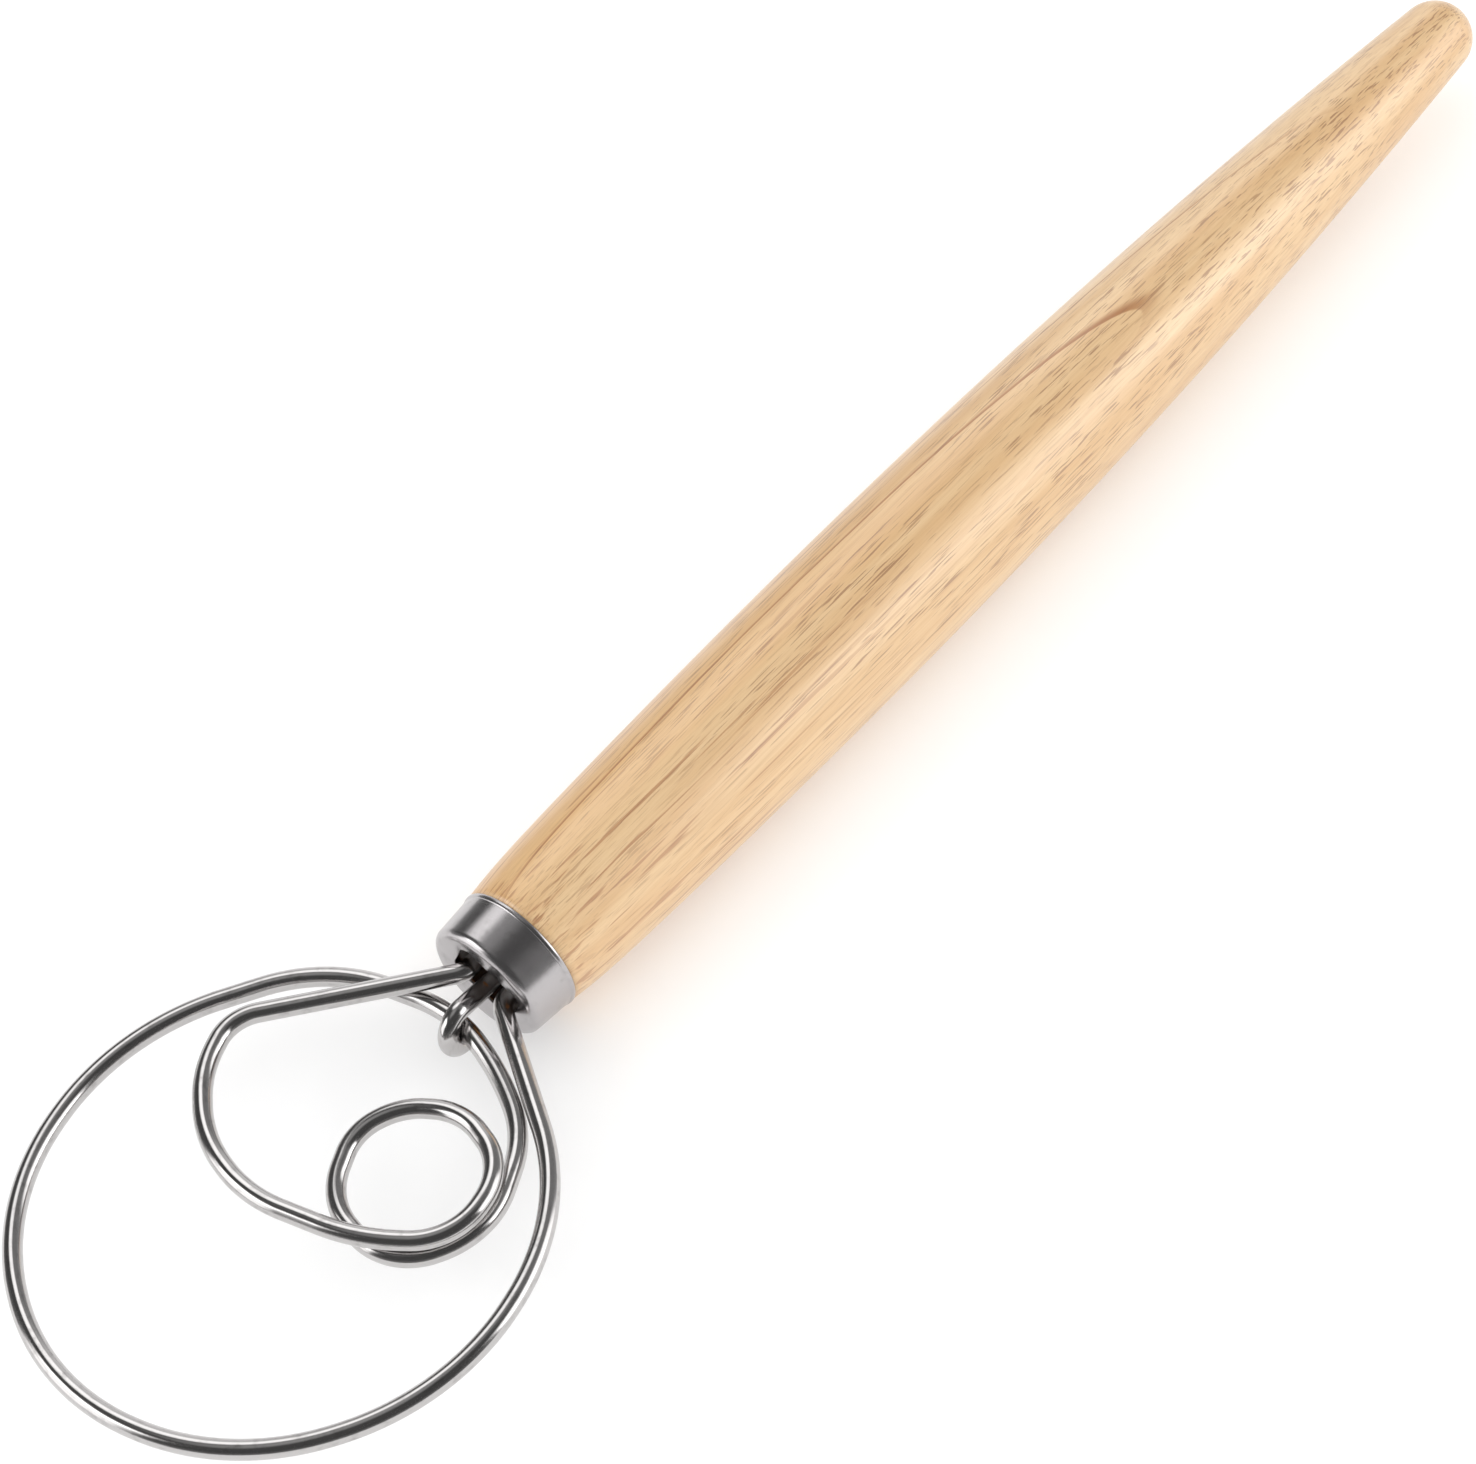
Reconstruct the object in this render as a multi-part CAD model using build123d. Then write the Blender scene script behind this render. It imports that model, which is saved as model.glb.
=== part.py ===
from build123d import *
import os
from math import asin, cos, degrees, hypot, radians, sin, tan

# A Danish dough whisk: a turned wooden handle, a short drawn steel ferrule, and one steel wire
# bent into a large outer ring, an inner loop and a small curl. A short hooked wire ties the ring
# back to the handle. The wire's two tails and the hook's shank stand in glue in the handle's bore.
#
# Everything is drawn about the mouth of the ferrule: X = 0 is its front face, X runs along the
# handle's axis towards the loops, Z is square to the loops. The finished parts are then set down
# with the origin at the bottom centre of the whole whisk, so the handle's belly rests on Z = 0.

# ---- wire ------------------------------------------------------------------------------------
WIRE = 3.2                      # wire diameter
LAYER = 1.7                     # the wire runs in two layers, this far below and above the axis
RING_RADIUS = 41.0              # outer ring, to the middle of the wire
RING_X, RING_Y = 47.2, 1.5      # its centre: the ring sits a little to one side of the axis
RING_START, RING_END = 147, -168    # degrees: where the ring leaves one tail and meets the hook
RING_CORNERS = 7
TAIL_END = -40.0                # how far the tails and the hook's shank reach into the handle
TAIL_BEND = 4.0                 # bend radius where a tail leaves the mouth
RING_TAIL = (0.1, 3.3)          # corner where the ring's tail turns out of the mouth
LOOP_TAIL = (0.6, -3.0)         # corner where the inner loop's tail turns back into the mouth
KNEE_BEND = 7.5                 # the tighter bend between the inner loop and its straight tail
LOW, HIGH = -LAYER, LAYER

# Corners of the wire after the ring: up inside the ring, where it dips to pass beside the ring's
# tail, once round the small curl while it climbs to the upper layer, then round the inner loop.
INNER_RISE = [(5.6, -1.3, LOW), (9.5, 11.7, -2.5), (15.6, 22.3, -3.1), (31.4, 30.2, -2.4)]
CURL = [(45.5, 22.2, LOW), (42.0, 6.6, -1.4), (31.1, 1.8, -0.6), (23.9, 5.4, 0.5),
        (19.2, 14.1, 1.3), (23.0, 26.5, HIGH), (36.9, 29.2, HIGH)]
INNER_LOOP = [(45.3, 17.2, HIGH), (49.8, -2.4, HIGH), (46.3, -15.0, HIGH), (37.9, -23.8, HIGH)]
KNEE = (28.2, -27.2, HIGH)

# ---- hook ------------------------------------------------------------------------------------
HOOK_Y = 0.4                    # the shank's place in the bore, between the two tails
HOOK_GAP = 0.3                  # air between the hook and the ring that it holds
HOOK_RADIUS = WIRE + HOOK_GAP   # bend of the hook, to the middle of its wire
HOOK_HOLD = (6.75, 1.3)         # middle of the ring's wire where the hook takes hold
HOOK_TURN = 200                 # degrees that the hook wraps round the ring
HOOK_CORNERS = 3
HOOK_BEND = 0.98 * HOOK_RADIUS  # each corner's bend, so that its runs keep a short straight

# ---- handle ----------------------------------------------------------------------------------
BELLY_X = -86.6                 # the thickest place of the handle
BELLY_RADIUS = 13.4
TAPER_RADIUS = 1808.0           # one long arc from the belly to the tip
TAPER_ANGLE = 5.0               # degrees that the taper has turned when the round tip begins
NECK_RADIUS = 11.2              # wood just behind the ferrule
SHOULDER = [(-15.0, 11.9), (-26.0, 12.45), (-50.0, 13.05)]
TENON_LENGTH = 7.0
BORE_RADIUS = 5.6
BORE_END = -44.0

# ---- ferrule ---------------------------------------------------------------------------------
FERRULE_LENGTH = 8.6
FERRULE_FRONT = 10.6            # outer radius at the front
FERRULE_BACK = 11.2             # outer radius at the back
FERRULE_WALL = 0.6
FERRULE_CORNER = 1.4            # the drawn cup's rounded front edge
BEAD_LENGTH, BEAD_RISE = 0.9, 0.2
TENON_INSET = FERRULE_WALL + 0.05   # the tenon's surface below the ferrule's outside
WINDOW = (12.1, 9.0)            # opening in the front face, through which the wires leave
WINDOW_CORNER = 1.8
WINDOW_MIDDLE = (0.15, 1.5)     # it's off the axis, so that it opens above the row of wires
WINDOW_TURN = -28.5             # degrees about X: the three wires leave in a slanting row

GLUE_FRONT = -4.5


def tangent_corners(plane, radius, start, end, count):
    """Corners of the straight runs that touch an arc from start to end degrees on the plane."""
    step = (end - start) / count
    reach = radius / cos(radians(step / 2))
    angles = [radians(start + step * (i + 0.5)) for i in range(count)]
    return [plane.from_local_coords(Vector(reach * cos(a), reach * sin(a))) for a in angles]


def bend_radii(points, fixed, share=0.49):
    """Each corner's bend: a fixed one, or the largest that its two runs leave room for."""
    radii = []
    for i in range(1, len(points) - 1):
        run_in, run_out = points[i] - points[i - 1], points[i + 1] - points[i]
        half_turn = tan(radians(run_in.get_angle(run_out) / 2))
        shorter = min(run_in.length, run_out.length)
        radii.append(fixed.get(i, share * shorter / half_turn))
    return radii


def bent_wire(points, fixed):
    """A round wire along straight runs joined by tangent arcs."""
    path = FilletPolyline(*points, radius=bend_radii(points, fixed))
    wire = sweep(Plane(path @ 0, z_dir=path % 0) * Circle(WIRE / 2), path=path)
    straight_volume = Circle(WIRE / 2).area * path.length
    print(f"wire {path.length:.1f} mm long, volume over section x length"
          f" {wire.volume / straight_volume:.4f}")
    return wire


def whisk_wire():
    """One wire: tail, outer ring, inner rise, curl, inner loop, knee, tail."""
    ring_plane = Plane(origin=(RING_X, RING_Y, LOW))
    ring = tangent_corners(ring_plane, RING_RADIUS, RING_START, RING_END, RING_CORNERS)
    first = [(TAIL_END, RING_TAIL[1], LOW), (*RING_TAIL, LOW)]
    inner = INNER_RISE + CURL + INNER_LOOP + [KNEE]
    last = [(*LOOP_TAIL, HIGH), (TAIL_END, LOOP_TAIL[1], HIGH)]
    points = [Vector(*p) for p in first] + ring + [Vector(*p) for p in inner + last]
    end = len(points) - 1
    return bent_wire(points, {1: TAIL_BEND, end - 2: KNEE_BEND, end - 1: TAIL_BEND})


def hook():
    """A short wire whose shank stands in the bore and whose end wraps round the ring."""
    mouth = Vector(0, HOOK_Y, 0)
    hold = Vector(*HOOK_HOLD, LOW)
    along = Vector(hold.X, hold.Y - HOOK_Y, 0)
    wrap_plane = Plane(origin=hold, x_dir=along, z_dir=along.cross(Vector(0, 0, 1)))
    distance = hypot(along.length, LAYER)
    touch = 90 + degrees(asin(HOOK_RADIUS / distance) - asin(LAYER / distance))
    wrap = tangent_corners(wrap_plane, HOOK_RADIUS, touch, touch - HOOK_TURN, HOOK_CORNERS)
    tip = wrap_plane.from_local_coords(Vector(HOOK_RADIUS, 0).rotate(Axis.Z, touch - HOOK_TURN))
    bends = {1: TAIL_BEND} | {2 + i: HOOK_BEND for i in range(HOOK_CORNERS)}
    return bent_wire([Vector(TAIL_END, HOOK_Y, 0), mouth] + wrap + [tip], bends)


def turned(*outline):
    """A solid of revolution about the handle's axis, from a closed chain of edges above it."""
    return revolve(Plane.XY * make_face(outline), axis=Axis.X)


def handle():
    """The turned handle: tenon, neck, shoulder, belly, one long taper and a round tip."""
    tenon_front = TENON_LENGTH - FERRULE_LENGTH
    neck = (-FERRULE_LENGTH, NECK_RADIUS)
    tenon_root = (-FERRULE_LENGTH, ferrule_radius(-FERRULE_LENGTH) - TENON_INSET)
    tenon_lip = (tenon_front, ferrule_radius(tenon_front) - TENON_INSET)
    swell = Spline(neck, *SHOULDER, (BELLY_X, BELLY_RADIUS),
                   tangents=[(-1, 0.16), (-1, 0)])
    taper = JernArc((BELLY_X, BELLY_RADIUS), (-1, 0), TAPER_RADIUS, TAPER_ANGLE)
    tip_radius = (taper @ 1).Y / cos(radians(TAPER_ANGLE))
    tip = JernArc(taper @ 1, taper % 1, tip_radius, 90 - TAPER_ANGLE)
    rest = Polyline(tip @ 1, (tenon_front, 0), tenon_lip, tenon_root, neck)
    wood = turned(*swell.edges(), *taper.edges(), *tip.edges(), *rest.edges())
    return wood - bore(BORE_END, 0)


def ferrule_radius(x):
    """Outer radius of the ferrule's straight, slightly flaring wall at x."""
    return FERRULE_FRONT - (FERRULE_BACK - FERRULE_FRONT) * x / FERRULE_LENGTH


def bore(start, end):
    """A round bar that fills the handle's blind bore from start to end."""
    return extrude(Plane(origin=(start, 0, 0), z_dir=(1, 0, 0)) * Circle(BORE_RADIUS), end - start)


def cup(inset, front):
    """The ferrule's outline, inset evenly, from a front face at x = front to its open back."""
    corner = FERRULE_CORNER - inset
    rim = ferrule_radius(front - corner) - inset
    back = ferrule_radius(-FERRULE_LENGTH) - inset
    face = Line((front, 0), (front, rim - corner))
    edge = RadiusArc((front, rim - corner), (front - corner, rim), -corner)
    wall = Polyline((front - corner, rim), (-FERRULE_LENGTH, back), (-FERRULE_LENGTH, 0), (front, 0))
    return turned(*face.edges(), *edge.edges(), *wall.edges())


def ferrule():
    """A thin drawn cup with a beaded back edge and a window in its front face."""
    back, start = -FERRULE_LENGTH, -FERRULE_LENGTH + BEAD_LENGTH
    crest = (back + BEAD_LENGTH / 2, FERRULE_BACK + BEAD_RISE)
    round_edge = ThreePointArc((start, ferrule_radius(start)), crest, (back, FERRULE_BACK))
    bead = turned(*round_edge.edges(), *Polyline((back, FERRULE_BACK), (back, 0), (start, 0),
                                                 (start, ferrule_radius(start))).edges())
    turn = radians(WINDOW_TURN)
    face = Plane(origin=(0, 0, 0), x_dir=(0, cos(turn), sin(turn)), z_dir=(1, 0, 0))
    opening = face * Pos(*WINDOW_MIDDLE) * RectangleRounded(*WINDOW, WINDOW_CORNER)
    window = extrude(opening, 2 * FERRULE_WALL, both=True)
    return cup(0, 0) + bead - cup(FERRULE_WALL, -FERRULE_WALL) - window


def glue(wires):
    """The glue that fills the bore round the two tails and the hook's shank."""
    plug = bore(BORE_END, GLUE_FRONT)
    for wire in wires:
        plug -= wire
    return plug


os.makedirs("parts", exist_ok=True)
wire, tie = whisk_wire(), hook()
parts = {
    "handle": handle(),
    "ferrule": ferrule(),
    "whisk_wire": wire,
    "hook": tie,
    "glue_plug": glue([wire, tie]),
}
tip_x = parts["handle"].bounding_box().min.X
loop_end_x = RING_X + RING_RADIUS + WIRE / 2
set_down = Pos(-(tip_x + loop_end_x) / 2, -RING_Y, BELLY_RADIUS)
print(f"whisk {loop_end_x - tip_x:.1f} mm long, mouth of the ferrule at {set_down.position}")
for name, solid in parts.items():
    export_step(set_down * solid, f"parts/{name}.step")
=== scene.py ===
# %% [markdown]
# # A Danish dough whisk
#
# The whisk is a turned wooden handle, a short steel ferrule, and one stiff steel wire bent into an
# outer ring, an inner loop and a small curl, with a short hook that ties the ring to the handle.
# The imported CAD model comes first. It's the frame: each piece made here goes where its node is,
# stays inside the model's box, and nothing of the frame is moved.

# %% Load the frame
import math

import bpy
import numpy as np
from mathutils import Matrix, Vector


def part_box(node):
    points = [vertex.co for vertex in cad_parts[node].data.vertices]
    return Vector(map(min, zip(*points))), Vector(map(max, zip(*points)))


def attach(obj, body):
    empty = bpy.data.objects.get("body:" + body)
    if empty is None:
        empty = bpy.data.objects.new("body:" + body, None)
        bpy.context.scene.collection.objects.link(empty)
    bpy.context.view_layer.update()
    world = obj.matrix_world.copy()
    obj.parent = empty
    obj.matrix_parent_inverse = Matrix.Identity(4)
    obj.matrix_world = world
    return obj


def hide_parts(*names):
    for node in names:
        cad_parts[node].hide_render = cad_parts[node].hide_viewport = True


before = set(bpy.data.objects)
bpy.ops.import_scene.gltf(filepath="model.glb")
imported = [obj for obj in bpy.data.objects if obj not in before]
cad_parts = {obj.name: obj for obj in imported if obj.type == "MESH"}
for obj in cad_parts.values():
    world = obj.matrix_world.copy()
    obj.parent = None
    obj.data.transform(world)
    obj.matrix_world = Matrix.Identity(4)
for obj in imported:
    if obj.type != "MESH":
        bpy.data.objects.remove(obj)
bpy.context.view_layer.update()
MM = 0.001

ferrule_low, ferrule_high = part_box("ferrule")
mouth = np.array([ferrule_high.x, (ferrule_low.y + ferrule_high.y) / 2,
                  (ferrule_low.z + ferrule_high.z) / 2])
print("nodes:", sorted(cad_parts))
print("mouth of the ferrule, mm:", (mouth / MM).round(2))

# %% [markdown]
# ## Camera
#
# The camera comes before the pieces, so that each of them can be judged as soon as it's made. It
# looks down at the handle's axis from the loops' side, a little over half way up, with a long lens,
# and it's rolled a little, so the whisk runs from corner to corner. Azimuth, elevation and distance
# are easier to read and to change than a place in space, so the place is worked out from them.

# %% Camera
AZIMUTH, ELEVATION, ROLL = math.radians(51.94), math.radians(50.99), math.radians(-13.56)
DISTANCE = 0.7732
FOCAL_LENGTH, SENSOR = 119.43, 36.0
AIM_BEHIND_MOUTH = 0.0597

toward_camera = Vector((math.cos(ELEVATION) * math.cos(AZIMUTH),
                        math.cos(ELEVATION) * math.sin(AZIMUTH), math.sin(ELEVATION)))
aim = Vector(mouth) - Vector((AIM_BEHIND_MOUTH, 0, 0))
camera = bpy.data.objects.new("camera", bpy.data.cameras.new("camera"))
camera.data.lens, camera.data.sensor_width = FOCAL_LENGTH, SENSOR
camera.matrix_world = (Matrix.Translation(aim + DISTANCE * toward_camera)
                       @ toward_camera.to_track_quat("Z", "Y").to_matrix().to_4x4()
                       @ Matrix.Rotation(ROLL, 4, "Z"))
bpy.context.scene.collection.objects.link(camera)
bpy.context.scene.camera = camera
bpy.context.scene.view_settings.view_transform = "Standard"
print("camera at, mm:", [round(c / MM, 1) for c in camera.matrix_world.translation])

# %% [markdown]
# ## Writing finishes as sums
#
# A finish is a network of nodes, and most of it is arithmetic: a growth ring is a distance, a pore
# is a noise that passes a threshold. Wrapping a socket in a small class lets that arithmetic be
# written as ordinary Python, and each operator adds its Math node. Every other node comes from the
# one method `node`, which sets the node's own settings first and then its sockets. The reflected
# operators let a plain number stand on the left, as in 1 - mask.

# %% Signals
class Signal:
    """The value that leaves one socket. An expression on signals adds its Math nodes."""

    def __init__(self, tree, socket=None):
        self.tree, self.socket = tree, socket

    def node(self, kind, settings=None, sockets=None, output=0):
        """Adds a node of a kind: its settings first, then the value or link of each socket."""
        added = self.tree.nodes.new(kind)
        for key, value in (settings or {}).items():
            setattr(added, key, value)
        for key, value in (sockets or {}).items():
            if isinstance(value, Signal):
                self.tree.links.new(value.socket, added.inputs[key])
            else:
                added.inputs[key].default_value = value
        return Signal(self.tree, added.outputs[output])

    def math(self, operation, *values):
        """A Math node on any values, in their order."""
        return self.node("ShaderNodeMath", {"operation": operation}, dict(enumerate(values)))

    def apply(self, operation):
        """A Math node of one value, such as a square root or a fraction part."""
        return self.math(operation, self)

    def __add__(self, other):
        return self.math("ADD", self, other)

    def __sub__(self, other):
        return self.math("SUBTRACT", self, other)

    def __rsub__(self, other):
        return self.math("SUBTRACT", other, self)

    def __mul__(self, other):
        return self.math("MULTIPLY", self, other)

    def __truediv__(self, other):
        return self.math("DIVIDE", self, other)

    __radd__, __rmul__ = __add__, __mul__

    def parts(self):
        """The three numbers of a vector."""
        first = self.node("ShaderNodeSeparateXYZ", {}, {"Vector": self})
        return [Signal(self.tree, socket) for socket in first.socket.node.outputs]

    def rise(self, low, high):
        """0 below low, 1 above high, a smooth step between them; a low above high falls instead."""
        return self.node("ShaderNodeMapRange", {"interpolation_type": "SMOOTHSTEP"},
                         {"Value": self, "From Min": low, "From Max": high})

    def tint(self, colour_at_0, colour_at_1):
        """A colour between the two, this far along."""
        return self.node("ShaderNodeMix", {"data_type": "RGBA"},
                         {0: self, 6: colour_at_0, 7: colour_at_1}, output=2)


def shade(red, green, blue):
    """A linear colour from 0 to 255 steps: ((s + 0.055) / 1.055) to the power 2.4."""
    steps = np.array([red, green, blue]) / 255
    return (*(((steps + 0.055) / 1.055) ** 2.4), 1.0)


def new_finish(name):
    """A material with an empty Principled shader, and a signal to build its network from."""
    finish = bpy.data.materials.new(name)
    finish.use_nodes = True
    return finish, finish.node_tree.nodes["Principled BSDF"], Signal(finish.node_tree)


def connect(shader, sockets):
    """Sets sockets of a shader: a signal is linked, and a number or colour is the socket's own."""
    for key, value in sockets.items():
        if isinstance(value, Signal):
            value.tree.links.new(value.socket, shader.inputs[key])
        else:
            shader.inputs[key].default_value = value


def about_mouth(start, stretch=(1, 1, 1)):
    """Object coordinates in millimetres about the mouth of the ferrule, each divided by a stretch."""
    scale = 1 / (MM * np.array(stretch))
    place = start.node("ShaderNodeTexCoord", output="Object")
    return start.node("ShaderNodeMapping", {"vector_type": "POINT"},
                      {"Vector": place, "Scale": scale, "Location": -mouth * scale})


def speckle(vector, detail=2.0, roughness=0.5):
    """Noise from 0 to 1 whose grains are about one unit of the vector across."""
    return vector.node("ShaderNodeTexNoise", {}, {"Vector": vector, "Scale": 1.0, "Detail": detail,
                                                  "Roughness": roughness})


print("signals ready")

# %% [markdown]
# ## The wood
#
# The handle is a pale hardwood with open pores and a thin satin lacquer. It could be painted with a
# stretched noise alone, but then its figure would look the same from every side. Here it's cut from
# a log: the growth rings are sheets in space, a distance from a pith that lies well below the
# handle, and the turned surface slices them, so that a long line runs down the flank and closes in
# an arch where the taper leaves a ring. Pores are short dark strokes along the grain, and the round
# tip shows their ends as dots, because they are strokes in space too. Near the ferrule, the flank
# turned from the highlight lamp is tinted warmer and deeper, which is painted shade. Long thin lines
# run with the grain near the ferrule.
#
# Noise keeps mostly between 0.3 and 0.7, so a `rise` between two thresholds in that range turns it
# into a mask, and a `rise` on a distance in millimetres fades a mask out. The colour is built up as
# a painter would, one tint over the last, each as strong as its mask.

# %% Wood finish
wood_finish, wood_shader, start = new_finish("oiled_hardwood")
RING_TILT = math.radians(21.0)      # how far the pith is turned from straight below the handle
PITH_DEPTH = 90.0                   # mm from the handle's axis to the pith
GRAIN_SLOPE = 0.0117                # how fast the pith draws away, per mm along the handle
RING_STEP = 3.6                     # mm from one ring to the next
RING_AT, RING_PLACE = 11.85, 150.0  # one ring is this far from the axis, this far behind the mouth
RING_WARP = 0.9                     # mm that a ring wavers
# Each kind of mark: its length along the handle, then its two widths across it, in mm.
WARP, LINE_FADE, STREAK = (75, 14, 14), (55, 8, 8), (120, 3.6, 3.6)
FIBRE, PATCH, PORE, LONG_LINE = (18, 0.36, 0.36), (30, 3.5, 3.5), (8.0, 0.27, 0.27), (70, 0.62, 0.62)
# The third tint is painted shade for one flank, not a colour of the wood.
DEEP_WOOD, PALE_WOOD, SHADED_FLANK_TINT = shade(218, 174, 116), shade(230, 193, 141), shade(221, 168, 92)
FIBRE_BROWN, RING_BROWN = shade(196, 149, 91), shade(172, 108, 36)
# The last brown is painted shade for the bore behind the window, not a colour of the wood.
LINE_BROWN, PORE_BROWN, BORE_SHADE_BROWN = shade(172, 108, 50), shade(146, 90, 38), shade(52, 34, 22)

along, across, depth = about_mouth(start).parts()
side = across * math.cos(RING_TILT) - depth * math.sin(RING_TILT)
height = (across * math.sin(RING_TILT) + depth * math.cos(RING_TILT) + PITH_DEPTH
          + (along + RING_PLACE) * GRAIN_SLOPE)
warp = (speckle(about_mouth(start, WARP), detail=1.0) - 0.5) * RING_WARP
from_pith = (side * side + height * height).apply("SQRT") + warp
ring_phase = ((from_pith - PITH_DEPTH - RING_AT) / RING_STEP).apply("FRACT")
late_wood = ring_phase.rise(0.90, 0.98) * ring_phase.rise(1.0, 0.990)
line_strength = (speckle(about_mouth(start, LINE_FADE), detail=1.0).rise(0.12, 0.42)
                 * (0.06 + 0.94 * side.rise(2.0, -2.5)) * (0.1 + 0.9 * along.rise(-214.0, -188.0)))

streaks = speckle(about_mouth(start, STREAK), detail=2.0).rise(0.34, 0.68)
fibres = speckle(about_mouth(start, FIBRE), detail=3.0, roughness=0.6)
patches = speckle(about_mouth(start, PATCH), detail=1.0).rise(0.34, 0.60)
pores = (speckle(about_mouth(start, PORE), detail=1.0).rise(0.57, 0.64)
         * (0.30 + 0.70 * patches) * (1 - 0.45 * along.rise(-90.0, -20.0)))
long_lines = (speckle(about_mouth(start, LONG_LINE), detail=1.0).rise(0.60, 0.69)
              * along.rise(-125.0, -35.0))
# Painted shade: near the ferrule, the flank turned from the highlight lamp is tinted warmer and
# deeper.
shaded_flank = side.rise(2.0, -8.0) * along.rise(-170.0, -20.0)

plain = streaks.tint(DEEP_WOOD, PALE_WOOD)
body = (shaded_flank * 0.45).tint(plain, SHADED_FLANK_TINT)
with_fibres = (fibres.rise(0.35, 0.75) * 0.34).tint(body, FIBRE_BROWN)
with_rings = (late_wood * (0.08 + 0.92 * line_strength)).tint(with_fibres, RING_BROWN)
with_lines = (long_lines * 0.68).tint(with_rings, LINE_BROWN)
with_pores = (pores * 0.68).tint(with_lines, PORE_BROWN)
# Painted shade: the bore's wall and the tenon's end are painted dark brown, for the shade behind the
# window.
from_axis = (across * across + depth * depth).apply("SQRT")
painted_bore_shade = from_axis.rise(6.4, 5.9) * along.rise(-50.0, -46.0) + along.rise(-2.4, -1.8)
wood_colour = painted_bore_shade.tint(with_pores, BORE_SHADE_BROWN)
relief = start.node("ShaderNodeBump", {}, {"Strength": 0.5, "Distance": 0.00006,
                                          "Height": 1 - pores - fibres * 0.25})
connect(wood_shader, {"Base Color": wood_colour, "Roughness": 0.40 + 0.14 * fibres,
                      "Normal": relief, "Coat Weight": 1.0, "Coat Roughness": 0.38,
                      "Coat IOR": 1.95})
print("wood finish:", len(wood_finish.node_tree.nodes), "nodes")

# %% [markdown]
# ## The steel
#
# The wire is drawn stainless steel, tumbled until it shines, so it mirrors the studio, blurred only
# by fine lines that the die left along it. Those lines have to follow the wire round every bend,
# so the finish reads an attribute that each wire carries: where each of its points would be, in
# millimetres, if the wire were pulled straight. The ferrule was pressed from sheet and polished as
# it turned, so its lines run round it, and its finish reads Object coordinates about the mouth.

# %% Steel finishes
DRAWN, DRAWN_DULL = (0.54, 0.525, 0.52, 1.0), (0.40, 0.385, 0.38, 1.0)
SPUN, SPUN_DULL = (0.50, 0.48, 0.485, 1.0), (0.39, 0.37, 0.37, 1.0)

wire_finish, wire_shader, start = new_finish("drawn_steel")
straightened = start.node("ShaderNodeAttribute", {"attribute_name": "straightened"}, output="Vector")
DIE_LINES_PER_MM, TUMBLING_PER_MM = (0.05, 5.0, 5.0), (0.5, 0.9, 0.9)
die_lines = speckle(start.node("ShaderNodeMapping", {}, {"Vector": straightened,
                                                        "Scale": DIE_LINES_PER_MM}), detail=3.0)
tumbling = speckle(start.node("ShaderNodeMapping", {}, {"Vector": straightened,
                                                       "Scale": TUMBLING_PER_MM}), detail=4.0)
die_relief = start.node("ShaderNodeBump", {}, {"Strength": 0.35, "Distance": 0.00001,
                                              "Height": die_lines})
connect(wire_shader, {"Base Color": tumbling.rise(0.5, 0.8).tint(DRAWN, DRAWN_DULL),
                      "Metallic": 1.0, "Roughness": 0.12 + 0.16 * die_lines * tumbling,
                      "Normal": die_relief})

ferrule_finish, ferrule_shader, start = new_finish("spun_steel")
SPUN_LINE, HANDLING = (0.07, 9, 9), (2.4, 2.4, 2.4)
spun_lines = speckle(about_mouth(start, SPUN_LINE), detail=2.0)
handling = speckle(about_mouth(start, HANDLING), detail=4.0, roughness=0.6)
spun_relief = start.node("ShaderNodeBump", {}, {"Strength": 0.4, "Distance": 0.00001,
                                               "Height": spun_lines})
connect(ferrule_shader, {"Base Color": handling.rise(0.5, 0.85).tint(SPUN, SPUN_DULL),
                         "Metallic": 1.0, "Roughness": 0.19 + 0.16 * spun_lines * handling,
                         "Normal": spun_relief})
print("steel finishes:", wire_finish.name, ferrule_finish.name)

# %% [markdown]
# ## The glue
#
# Amber adhesive fills the bore round the wires. Only its front shows, deep in the window, so the
# CAD node keeps its shape and gets a finish of its own: cloudy, a little shiny and uneven.

# %% Glue finish
glue_finish, glue_shader, start = new_finish("amber_glue")
DARK_AMBER, PALE_AMBER, CLOUD = shade(150, 90, 40), shade(214, 146, 72), (1.6, 1.6, 1.6)
cloud = speckle(about_mouth(start, CLOUD), detail=3.0)
skin = start.node("ShaderNodeBump", {}, {"Strength": 0.6, "Distance": 0.0002, "Height": cloud})
connect(glue_shader, {"Base Color": cloud.tint(DARK_AMBER, PALE_AMBER),
                      "Roughness": 0.25 + 0.2 * cloud, "Normal": skin})
glue_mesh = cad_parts["glue_plug"].data
glue_mesh.materials.clear()
glue_mesh.materials.append(glue_finish)
print("glue finish on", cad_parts["glue_plug"].name)

# %% [markdown]
# ## Surfaces from arrays
#
# Every piece here is round in one direction, so every piece is a grid of points: one way along it,
# the other way round it. A grid is a whole numpy array, and its quads are index arithmetic, so no
# Python loop ever visits a vertex. The last point round is joined to the first. Along, the grid is
# either closed at both ends by a fan, or joined to its own start, so there's no seam and no hole.

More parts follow.
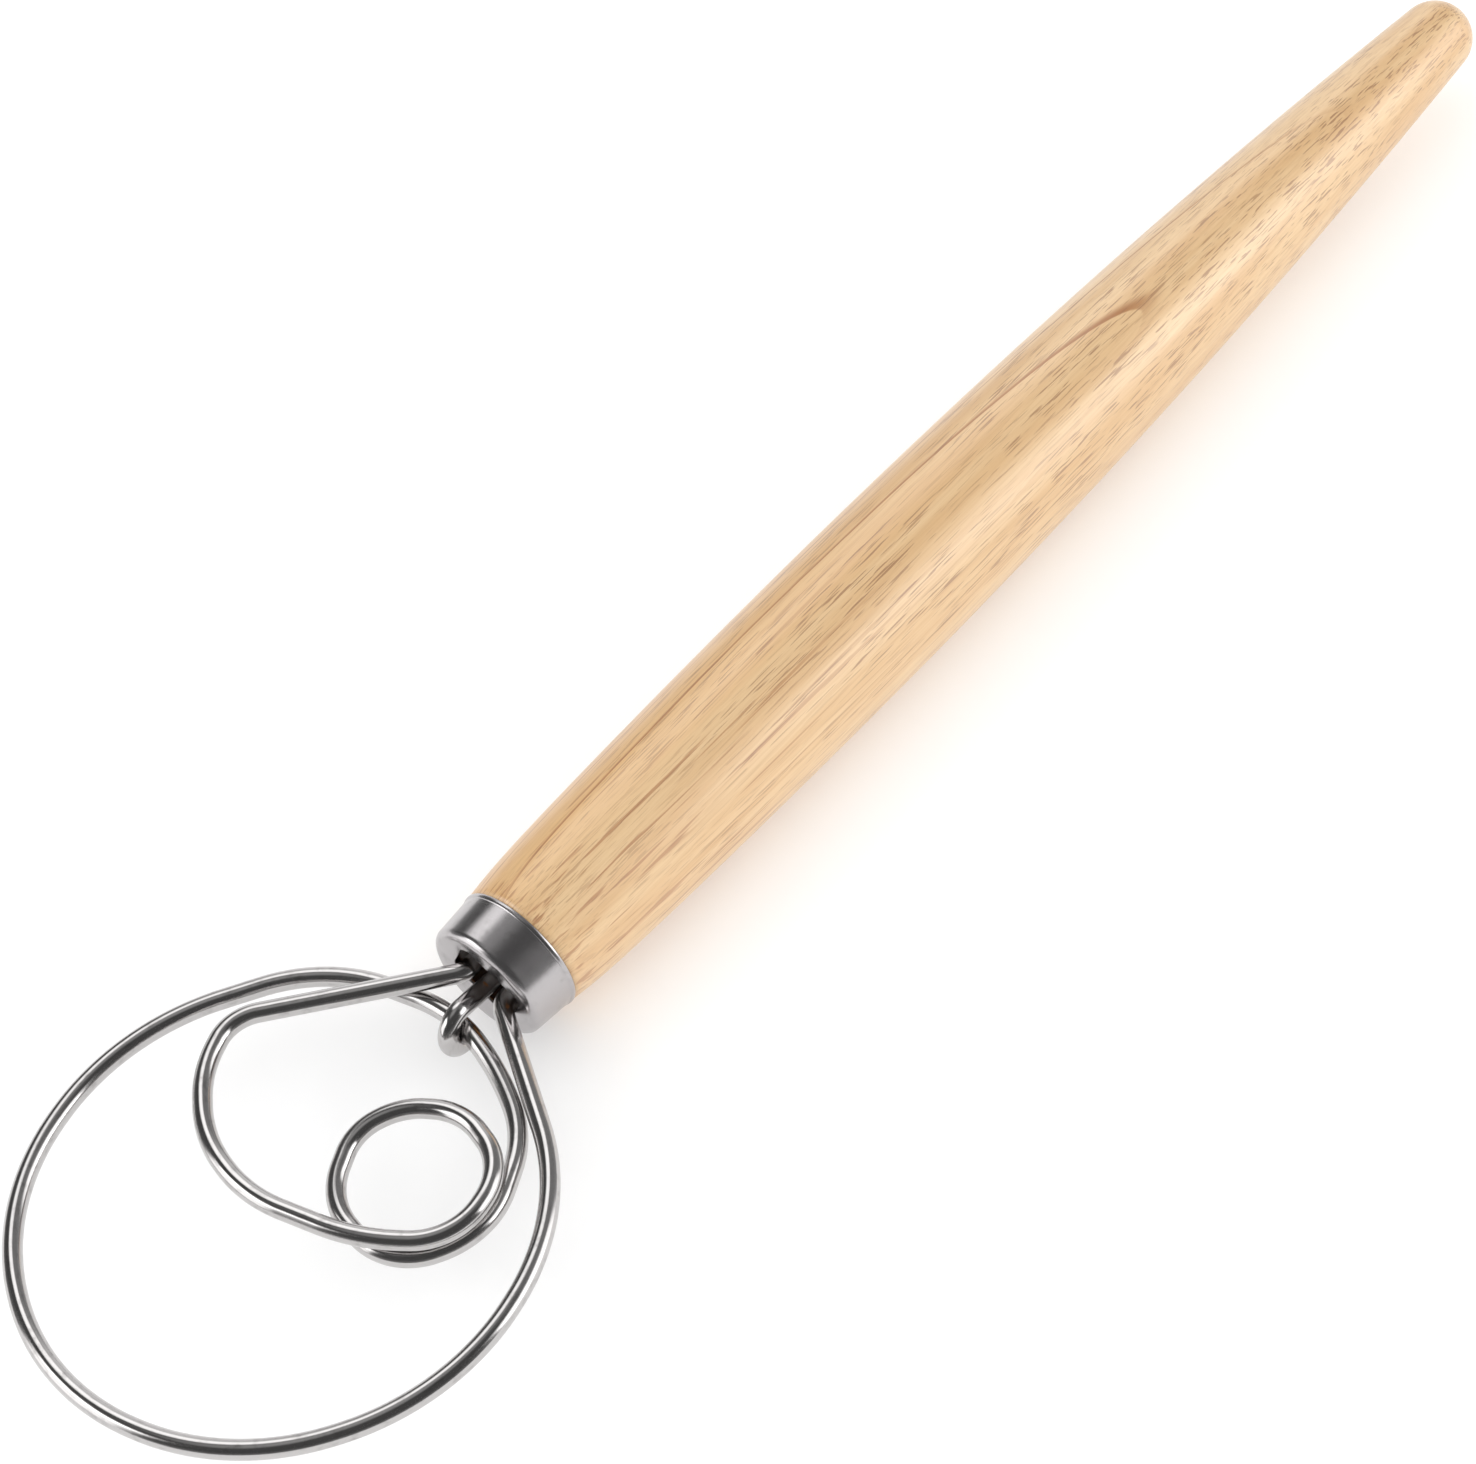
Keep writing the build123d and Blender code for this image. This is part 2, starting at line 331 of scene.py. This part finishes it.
# %% From a grid to a piece
def grid_piece(name, node, finish, points, capped=True, straight=None):
    """An object from points[along, round, xyz]. Quads join neighbours and wrap round; fans about
    the middle of the first and last row cap it, or the last row is joined to the first. Faces look
    the way that (way round) x (way along) points, which is outwards on every piece here."""
    rows, columns, _ = points.shape
    index = np.arange(rows * columns).reshape(rows, columns)
    if not capped:
        index = np.vstack([index, index[:1]])
    beside = np.roll(index, -1, axis=1)
    quads = np.stack([index[:-1], beside[:-1], beside[1:], index[1:]], axis=-1).reshape(-1, 4)
    vertices, corners = points.reshape(-1, 3), quads.ravel()
    starts = np.arange(len(quads)) * 4
    if capped:
        middles = rows * columns + np.arange(2)
        rims = np.stack([index[0, ::-1], index[-1]])
        fans = np.stack([rims, np.roll(rims, -1, axis=1),
                         np.repeat(middles[:, None], columns, axis=1)], axis=-1)
        vertices = np.vstack([vertices, points[[0, -1]].mean(axis=1)])
        starts = np.append(starts, len(corners) + np.arange(2 * columns) * 3)
        corners = np.append(corners, fans.ravel())
    mesh = bpy.data.meshes.new(name)
    mesh.vertices.add(len(vertices))
    mesh.vertices.foreach_set("co", vertices.ravel())
    mesh.loops.add(len(corners))
    mesh.loops.foreach_set("vertex_index", corners.astype(np.int32))
    mesh.polygons.add(len(starts))
    mesh.polygons.foreach_set("loop_start", starts.astype(np.int32))
    mesh.update(calc_edges=True)
    mesh.shade_smooth()
    if straight is not None:
        attribute = mesh.attributes.new("straightened", "FLOAT_VECTOR", "POINT")
        ends = straight[[0, -1]].mean(axis=1)
        attribute.data.foreach_set("vector", np.vstack([straight.reshape(-1, 3), ends]).ravel())
    mesh.materials.append(finish)
    piece = bpy.data.objects.new(name, mesh)
    bpy.context.scene.collection.objects.link(piece)
    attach(piece, "root")
    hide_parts(node)
    print(f"{name}: {len(vertices)} points, {len(starts)} faces")
    return piece


def turned(x, radius, around):
    """points[along, round] of a turned form, in metres: (x, r cos a, r sin a) about the axis, where
    the radius is one number for each x, or one for each x and angle."""
    angle = np.linspace(0, 2 * np.pi, around, endpoint=False)
    radius = np.broadcast_to(np.reshape(radius, (len(x), -1)), (len(x), around))
    along = np.broadcast_to(np.asarray(x)[:, None], radius.shape)
    return mouth + MM * np.stack([along, radius * np.cos(angle), radius * np.sin(angle)], axis=-1)


print("grids ready")

# %% [markdown]
# ## The handle
#
# A handle like this is turned on a lathe against a template, so it's one profile carried round an
# axis. The profile is four curves end to end: a round tip, one very long arc that swells to the
# belly, a smooth spline from the belly to the neck, and the tenon that the ferrule is pressed on.
# It goes on into the blind bore, so that wood shows where the window lets you see inside.

# %% Handle
BELLY_X, BELLY_RADIUS = -86.6, 13.4
TAPER_RADIUS, TAPER_ANGLE = 1808.0, math.radians(5.0)
NECK_X, NECK_RADIUS, NECK_SLOPE = -8.6, 11.2, -0.16
SWELL = np.array([(BELLY_X, BELLY_RADIUS), (-50.0, 13.05), (-26.0, 12.45), (-15.0, 11.9),
                  (NECK_X, NECK_RADIUS)])
BORE_RADIUS, BORE_END, TENON_FRONT = 5.6, -44.0, -1.6
TENON_BACK_RADIUS, TENON_FRONT_RADIUS = 10.55, 10.06
HANDLE_ROUND = 120


def clamped_spline(knots, slope_in, slope_out, x):
    """The cubic spline through knots with set end slopes. Each inner slope m solves
    m0 / h0 + 2 m1 (1 / h0 + 1 / h1) + m2 / h1 = 3 (rise0 / h0^2 + rise1 / h1^2), and a run between
    knots is the Hermite cubic of its two heights and two slopes."""
    step, rise = np.diff(knots[:, 0]), np.diff(knots[:, 1])
    system, target = np.eye(len(knots)), np.zeros(len(knots))
    inner = np.arange(1, len(knots) - 1)
    system[inner, inner - 1], system[inner, inner + 1] = 1 / step[:-1], 1 / step[1:]
    system[inner, inner] = 2 / step[:-1] + 2 / step[1:]
    target[inner] = 3 * (rise[:-1] / step[:-1] ** 2 + rise[1:] / step[1:] ** 2)
    target[0], target[-1] = slope_in, slope_out
    slopes = np.linalg.solve(system, target)
    run = np.clip(np.searchsorted(knots[:, 0], x, side="right") - 1, 0, len(step) - 1)
    t, width = (x - knots[run, 0]) / step[run], step[run]
    return (knots[run, 1] + rise[run] * t * t * (3 - 2 * t)
            + slopes[run] * width * t * (1 - t) ** 2 - slopes[run + 1] * width * t * t * (1 - t))


taper_x = BELLY_X - TAPER_RADIUS * math.sin(TAPER_ANGLE)
taper_end = BELLY_RADIUS - TAPER_RADIUS * (1 - math.cos(TAPER_ANGLE))
tip_radius = taper_end / math.cos(TAPER_ANGLE)
tip_middle = taper_x + taper_end * math.tan(TAPER_ANGLE)
tip_angle = np.linspace(0.03, math.pi / 2 - TAPER_ANGLE, 28, endpoint=False)
taper_angle = np.linspace(TAPER_ANGLE, 0, 80, endpoint=False)
swell_x = np.linspace(BELLY_X, NECK_X, 60)
tenon = np.array([(NECK_X, TENON_BACK_RADIUS), (TENON_FRONT, TENON_FRONT_RADIUS),
                  (TENON_FRONT, BORE_RADIUS), (BORE_END, BORE_RADIUS)])
handle_x = np.concatenate([tip_middle - tip_radius * np.cos(tip_angle),
                           BELLY_X - TAPER_RADIUS * np.sin(taper_angle), swell_x, tenon[:, 0]])
handle_radius = np.concatenate([
    tip_radius * np.sin(tip_angle),
    BELLY_RADIUS - TAPER_RADIUS * (1 - np.cos(taper_angle)),
    clamped_spline(SWELL, 0, NECK_SLOPE, swell_x), tenon[:, 1]])
grid_piece("turned_handle", "handle", wood_finish,
           turned(handle_x, handle_radius, HANDLE_ROUND))
print(f"handle from x {handle_x.min():.1f} to {handle_x.max():.1f} mm")

# %% [markdown]
# ## The ferrule
#
# The ferrule is drawn from thin sheet into a cup: a rounded front edge, a slightly flaring wall, a
# small bead at its open back, and a window punched in its face, where the wires leave. Cutting the
# window with a boolean would leave long thin triangles that show in polished steel. Instead the
# whole wall is one closed loop of rows, from the window's edge along the inside to the back and
# along the outside again, and the rows nearest the window follow its rounded rectangle.

# %% Ferrule
LENGTH, FRONT, BACK, WALL, CORNER = 8.6, 10.6, 11.2, 0.6, 1.4
BEAD_LENGTH, BEAD_RISE = 0.9, 0.2
WINDOW, WINDOW_CORNER, WINDOW_MIDDLE = (12.1, 9.0), 1.8, np.array([0.15, 1.5])
WINDOW_TURN = math.radians(-28.5)
ROUND = 240


def window_radius(angle, grow=0.0):
    """How far from the axis a rounded rectangle's edge is at an angle. The ray meets the nearer of
    the two sides that it heads for, or, past their ends, the corner's circle about c, at
    c.d + sqrt((c.d)^2 - c.c + r^2). The rectangle's middle is off the axis, so each way has its
    own half width."""
    toward = angle - WINDOW_TURN
    ray = np.stack([np.cos(toward), np.sin(toward)], axis=-1)
    half = np.array(WINDOW) / 2 + grow + np.sign(ray) * WINDOW_MIDDLE
    ray, radius = np.abs(ray), WINDOW_CORNER + grow
    nearer = (half / np.maximum(ray, 1e-9)).min(axis=-1)
    centre = half - radius
    along = (ray * centre).sum(axis=-1)
    corner = along + np.sqrt(np.maximum(along ** 2 - (centre ** 2).sum(axis=-1) + radius ** 2, 0))
    in_corner = np.all(ray * nearer[:, None] > centre, axis=-1)
    return np.where(in_corner, corner, nearer)


def wall_radius(x):
    """The outside of the flaring wall: front radius plus the flare's share of the way back."""
    return FRONT - (BACK - FRONT) * np.asarray(x) / LENGTH


round_angle = np.linspace(0, 2 * np.pi, ROUND, endpoint=False)
quarter = np.linspace(0, np.pi / 2, 10)
inner_corner = CORNER - WALL
inner_face = wall_radius(-WALL - inner_corner) - WALL - inner_corner
outer_face = wall_radius(-CORNER) - CORNER
bead_angle = np.linspace(np.pi, 0, 11)
inner_x = np.concatenate([-WALL - inner_corner * (1 - np.cos(quarter)), [-LENGTH]])
inner_r = np.append(inner_face + inner_corner * np.sin(quarter), BACK - WALL)
bead_x = -LENGTH + BEAD_LENGTH / 2 * (1 + np.cos(bead_angle))
wall_x = np.linspace(bead_x[-1] + 0.05, -CORNER - 0.05, 8)
corner_x = -CORNER * (1 - np.cos(quarter[::-1]))
outer_x = np.concatenate([bead_x, wall_x, corner_x])
outer_r = np.concatenate([wall_radius(bead_x) + BEAD_RISE * np.sin(bead_angle),
                          wall_radius(wall_x), outer_face + CORNER * np.sin(quarter[::-1])])
# Through the wall the window is straight in the middle and rounded over at both edges.
window_x = np.array([0.0, -0.06, -0.18, -0.42, -0.54, -0.60])
window_grow = np.array([0.18, 0.06, 0.0, 0.0, 0.06, 0.18])
window_r = np.stack([window_radius(round_angle, grow) for grow in window_grow])
rest_r = np.concatenate([inner_r, outer_r])[:, None] * np.ones(ROUND)
ferrule_points = turned(np.concatenate([window_x, inner_x, outer_x]),
                        np.vstack([window_r, rest_r]), ROUND)
grid_piece("drawn_ferrule", "ferrule", ferrule_finish, ferrule_points, capped=False)
print(f"ferrule wall {WALL} mm, window {WINDOW[0]} by {WINDOW[1]} mm")

# %% [markdown]
# ## The bent wires
#
# A wire worker bends wire round pins, so a bent wire is straight runs joined by arcs. The same
# corner points and bend radii that shaped the CAD model shape it here. A curve object with a bevel
# would do, but its points bunch and its mirror lines waver in tight bends, so the arcs are worked
# out exactly, a circle of points is carried along them, and each circle is square to the wire.

# %% Bending and sweeping
WIRE = 3.2
LOW, HIGH = -1.7, 1.7
TAIL_END, TAIL_BEND = -40.0, 4.0
BEND_STEPS = 48
CUT_EDGE, CUT_STEPS = 0.35, 6       # the rounded edge of a cut end, and its rows


def tangent_corners(middle, side, up, radius, start, turn, count):
    """Corners of the straight runs that touch an arc: at the middle angle of each of count equal
    steps, at radius / cos(half a step) from the arc's middle."""
    step = turn / count
    angle = np.radians(start + step * (np.arange(count) + 0.5))
    reach = radius / math.cos(math.radians(step / 2))
    return middle + reach * (np.cos(angle)[:, None] * side + np.sin(angle)[:, None] * up)


def bend(corners, set_bends, share=0.49):
    """Points and directions along runs joined by arcs. Each arc of radius R touches its two runs at
    R tan(half the turn) from the corner; R is set, or share of the shorter run / tan(half turn).
    On the arc the point is start + R (sin f in + (1 - cos f) inwards), f from 0 to the turn."""
    runs = np.diff(corners, axis=0)
    length = np.linalg.norm(runs, axis=1)
    ahead = runs / length[:, None]
    cosine = np.clip((ahead[:-1] * ahead[1:]).sum(axis=1), -1, 1)
    turn = np.arccos(cosine)
    reach = np.tan(turn / 2)
    radius = share * np.minimum(length[:-1], length[1:]) / reach
    radius[list(set_bends)] = list(set_bends.values())
    inwards = (ahead[1:] - cosine[:, None] * ahead[:-1]) / np.sin(turn)[:, None]
    starts = corners[1:-1] - (radius * reach)[:, None] * ahead[:-1]
    f = (turn[:, None] * np.linspace(0, 1, BEND_STEPS))[..., None]
    points = starts[:, None] + radius[:, None, None] * (
        np.sin(f) * ahead[:-1, None] + (1 - np.cos(f)) * inwards[:, None])
    directions = np.cos(f) * ahead[:-1, None] + np.sin(f) * inwards[:, None]
    cut = CUT_EDGE * (1 - np.cos(np.linspace(0, np.pi / 2, CUT_STEPS)))[:, None]
    first, last = corners[0] + cut * ahead[0], corners[-1] - cut[::-1] * ahead[-1]
    points = np.vstack([first, points.reshape(-1, 3), last])
    directions = np.vstack([np.repeat(ahead[:1], CUT_STEPS, axis=0), directions.reshape(-1, 3),
                            np.repeat(ahead[-1:], CUT_STEPS, axis=0)])
    return points, directions


def wire_piece(name, node, corners, set_bends, square_to, around=28):
    """A round wire along bent runs. Each circle is cos a side + sin a lift, where side is
    square_to x ahead and lift is ahead x side. At a cut end the radius grows with the distance d
    from it as a quarter circle: r - e + sqrt(e^2 - (e - d)^2), for an edge e."""
    points, ahead = bend(corners, set_bends)
    side = np.cross(square_to, ahead)
    side /= np.linalg.norm(side, axis=1, keepdims=True)
    lift = np.cross(ahead, side)
    along = np.append(0, np.cumsum(np.linalg.norm(np.diff(points, axis=0), axis=1)))
    end = np.minimum(np.minimum(along, along[-1] - along), CUT_EDGE)
    radius = WIRE / 2 - CUT_EDGE + np.sqrt(CUT_EDGE ** 2 - (CUT_EDGE - end) ** 2)
    angle = np.linspace(0, 2 * np.pi, around, endpoint=False)
    cosine, sine = radius[:, None] * np.cos(angle), radius[:, None] * np.sin(angle)
    ring = cosine[..., None] * side[:, None] + sine[..., None] * lift[:, None]
    straight = np.stack([along[:, None] + 0 * cosine, cosine, sine], axis=-1)
    grid_piece(name, node, wire_finish, mouth + MM * (points[:, None] + ring),
               straight=straight)
    print(f"{name}: {along[-1]:.1f} mm of wire")


print("bending ready")

# %% [markdown]
# ## The whisk's wire
#
# One wire makes all three loops. From its tail in the bore it goes once round the outer ring,
# turns in, passes beside its own tail, winds once round the small curl while it climbs to the upper
# layer, and comes back round the inner loop to a knee and its other tail.

# %% Whisk wire
RING_MIDDLE, RING_RADIUS = np.array([47.2, 1.5, LOW]), 41.0
RING_START, RING_TURN, RING_CORNERS = 147, -315, 7
X, Y, Z = np.eye(3)
tail = [(TAIL_END, 3.3, LOW), (0.1, 3.3, LOW)]
inner_rise = [(5.6, -1.3, LOW), (9.5, 11.7, -2.5), (15.6, 22.3, -3.1), (31.4, 30.2, -2.4)]
curl = [(45.5, 22.2, LOW), (42.0, 6.6, -1.4), (31.1, 1.8, -0.6), (23.9, 5.4, 0.5),
        (19.2, 14.1, 1.3), (23.0, 26.5, HIGH), (36.9, 29.2, HIGH)]
inner_loop = [(45.3, 17.2, HIGH), (49.8, -2.4, HIGH), (46.3, -15.0, HIGH), (37.9, -23.8, HIGH)]
knee_and_tail = [(28.2, -27.2, HIGH), (0.6, -3.0, HIGH), (TAIL_END, -3.0, HIGH)]
KNEE_BEND = 7.5

outer_ring = tangent_corners(RING_MIDDLE, X, Y, RING_RADIUS, RING_START, RING_TURN, RING_CORNERS)
whisk_corners = np.vstack([tail, outer_ring, inner_rise, curl, inner_loop, knee_and_tail])
wire_piece("whisk_loops", "whisk_wire", whisk_corners,
           {0: TAIL_BEND, len(whisk_corners) - 4: KNEE_BEND, len(whisk_corners) - 3: TAIL_BEND}, Z)

# %% [markdown]
# ## The hook
#
# A second, short wire stands in the bore between the two tails. Its free end wraps round the ring
# in an upright plane and draws it against the ferrule.

# %% Hook
HOOK_Y, HOOK_RADIUS, HOOK_TURN, HOOK_CORNERS = 0.4, 3.5, 200, 3
held = np.array([6.75, 1.3, LOW])
along_hook = held - [0, HOOK_Y, LOW]
reach = np.linalg.norm(along_hook)
along_hook /= reach
distance = math.hypot(reach, LOW)
touch = 90 + math.degrees(math.asin(HOOK_RADIUS / distance) - math.asin(-LOW / distance))
wrap = tangent_corners(held, along_hook, Z, HOOK_RADIUS, touch, -HOOK_TURN, HOOK_CORNERS)
end_angle = math.radians(touch - HOOK_TURN)
hook_end = held + HOOK_RADIUS * (math.cos(end_angle) * along_hook + math.sin(end_angle) * Z)
hook_corners = np.vstack([(TAIL_END, HOOK_Y, 0), (0, HOOK_Y, 0), wrap, hook_end])
hook_bends = {0: TAIL_BEND} | {1 + turn: 0.98 * HOOK_RADIUS for turn in range(HOOK_CORNERS)}
wire_piece("ring_hook", "hook", hook_corners, hook_bends, np.cross(Z, along_hook))

# %% [markdown]
# ## Floor
#
# The floor is a plain pale sheet that runs on past the camera's view. It isn't attached to the whisk.

# %% Floor
floor_finish, floor_shader, start = new_finish("pale_floor")
paper = speckle(about_mouth(start, (3, 3, 3)), detail=2.0)
connect(floor_shader, {"Base Color": paper.tint((0.80, 0.80, 0.80, 1), (0.82, 0.82, 0.82, 1)),
                       "Roughness": 0.9, "Specular IOR Level": 0.1,
                       "Emission Color": (1.0, 1.0, 1.0, 1.0), "Emission Strength": 0.24})
FLOOR_HALF = 3.0
floor_mesh = bpy.data.meshes.new("floor")
floor_corners = FLOOR_HALF * np.array([(-1, -1, 0), (1, -1, 0), (1, 1, 0), (-1, 1, 0)])
floor_mesh.from_pydata(floor_corners, [], [(0, 1, 2, 3)])
floor_mesh.materials.append(floor_finish)
floor = bpy.data.objects.new("floor", floor_mesh)
bpy.context.scene.collection.objects.link(floor)
print("floor", 2 * FLOOR_HALF, "m square")

# %% [markdown]
# ## Studio light
#
# Polished steel is only as good as what it mirrors. A plain white world makes it look like plastic,
# so the world is a small studio: a white tent for the soft light on the wood, and, for mirror
# reflections, dark walls with three tall softboxes that stand round the whisk. That gives every
# wire its dark and bright lines. The Light Path node tells the two apart. Two real softboxes are
# lamps: one low beside the handle for the wood's long sheen, and one to fill the other side.

# %% World
world = bpy.data.worlds.new("studio")
world.use_nodes = True
bpy.context.scene.world = world
start = Signal(world.node_tree)
background = world.node_tree.nodes["Background"]
TENT = 1.06
direction = start.node("ShaderNodeTexCoord", output="Generated")
east, north, sky = direction.parts()


def panel(azimuth, half_width, low, high, edge):
    """A softbox in the sky: 1 where a direction lies within half_width of an azimuth and from low
    to high in elevation, falling to 0 over the edge. All in degrees. The azimuth's distance comes
    from its cosine, (east cos a + north sin a) / sqrt(east^2 + north^2)."""
    a = math.radians(azimuth)
    level = (east * east + north * north + 1e-6).apply("SQRT")
    cosine = (east * math.cos(a) + north * math.sin(a)) / level
    wide = cosine.rise(math.cos(math.radians(half_width + edge)),
                       math.cos(math.radians(half_width - edge)))
    bottom, top = (math.radians(angle) for angle in (low, high))
    spread = math.radians(edge)
    return (wide * sky.rise(math.sin(bottom - spread), math.sin(bottom + spread))
            * sky.rise(math.sin(top + spread), math.sin(top - spread)))


walls = (0.07 + 0.15 * sky.rise(0.45, 0.0)
         + 0.18 * panel(azimuth=190, half_width=48, low=-10, high=68, edge=14))
right_box = panel(azimuth=137, half_width=20, low=-10, high=40, edge=5)
left_box = panel(azimuth=323, half_width=19, low=-10, high=47, edge=5)
back_box = panel(azimuth=234, half_width=22, low=35, high=62, edge=6)
back_skirt = panel(azimuth=221, half_width=20, low=-10, high=34, edge=8)
ceiling = 0.12 * sky.rise(0.95, 1.0) + 0.28 * sky.rise(0.86, 0.97) * north.rise(0.25, -0.25)
mirrored = (walls + 1.7 * right_box + 1.7 * left_box + 1.65 * back_box + 0.62 * back_skirt
            + ceiling)
is_mirror = start.node("ShaderNodeLightPath", output="Is Glossy Ray")
is_camera = start.node("ShaderNodeLightPath", output="Is Camera Ray")
# Seen directly the studio is plain white, a mirror sees the dark room, and all else sees the tent.
strength = is_camera + (1 - is_camera) * (is_mirror * mirrored + (1 - is_mirror) * TENT)
connect(background, {"Color": (1.0, 1.0, 1.0, 1.0), "Strength": strength})
print("studio:", len(world.node_tree.nodes), "nodes")

# %% Softboxes
def softbox(name, toward, distance, size, watts):
    """An area light at a distance from the camera's aim, facing it."""
    light = bpy.data.objects.new(name, bpy.data.lights.new(name, "AREA"))
    light.data.shape, light.data.size, light.data.size_y = "RECTANGLE", *size
    light.data.energy = watts
    toward = Vector(toward).normalized()
    light.matrix_world = (Matrix.Translation(aim + distance * toward)
                          @ toward.to_track_quat("Z", "Y").to_matrix().to_4x4())
    bpy.context.scene.collection.objects.link(light)
    print(f"{name}: {watts} W at {distance} m")


softbox("highlight_box", toward=(-0.55, 0.769, 0.326), distance=1.1, size=(0.55, 0.40), watts=1.55)
softbox("fill_box", toward=(0.64, -0.50, 0.58), distance=1.5, size=(0.80, 0.40), watts=1.6)
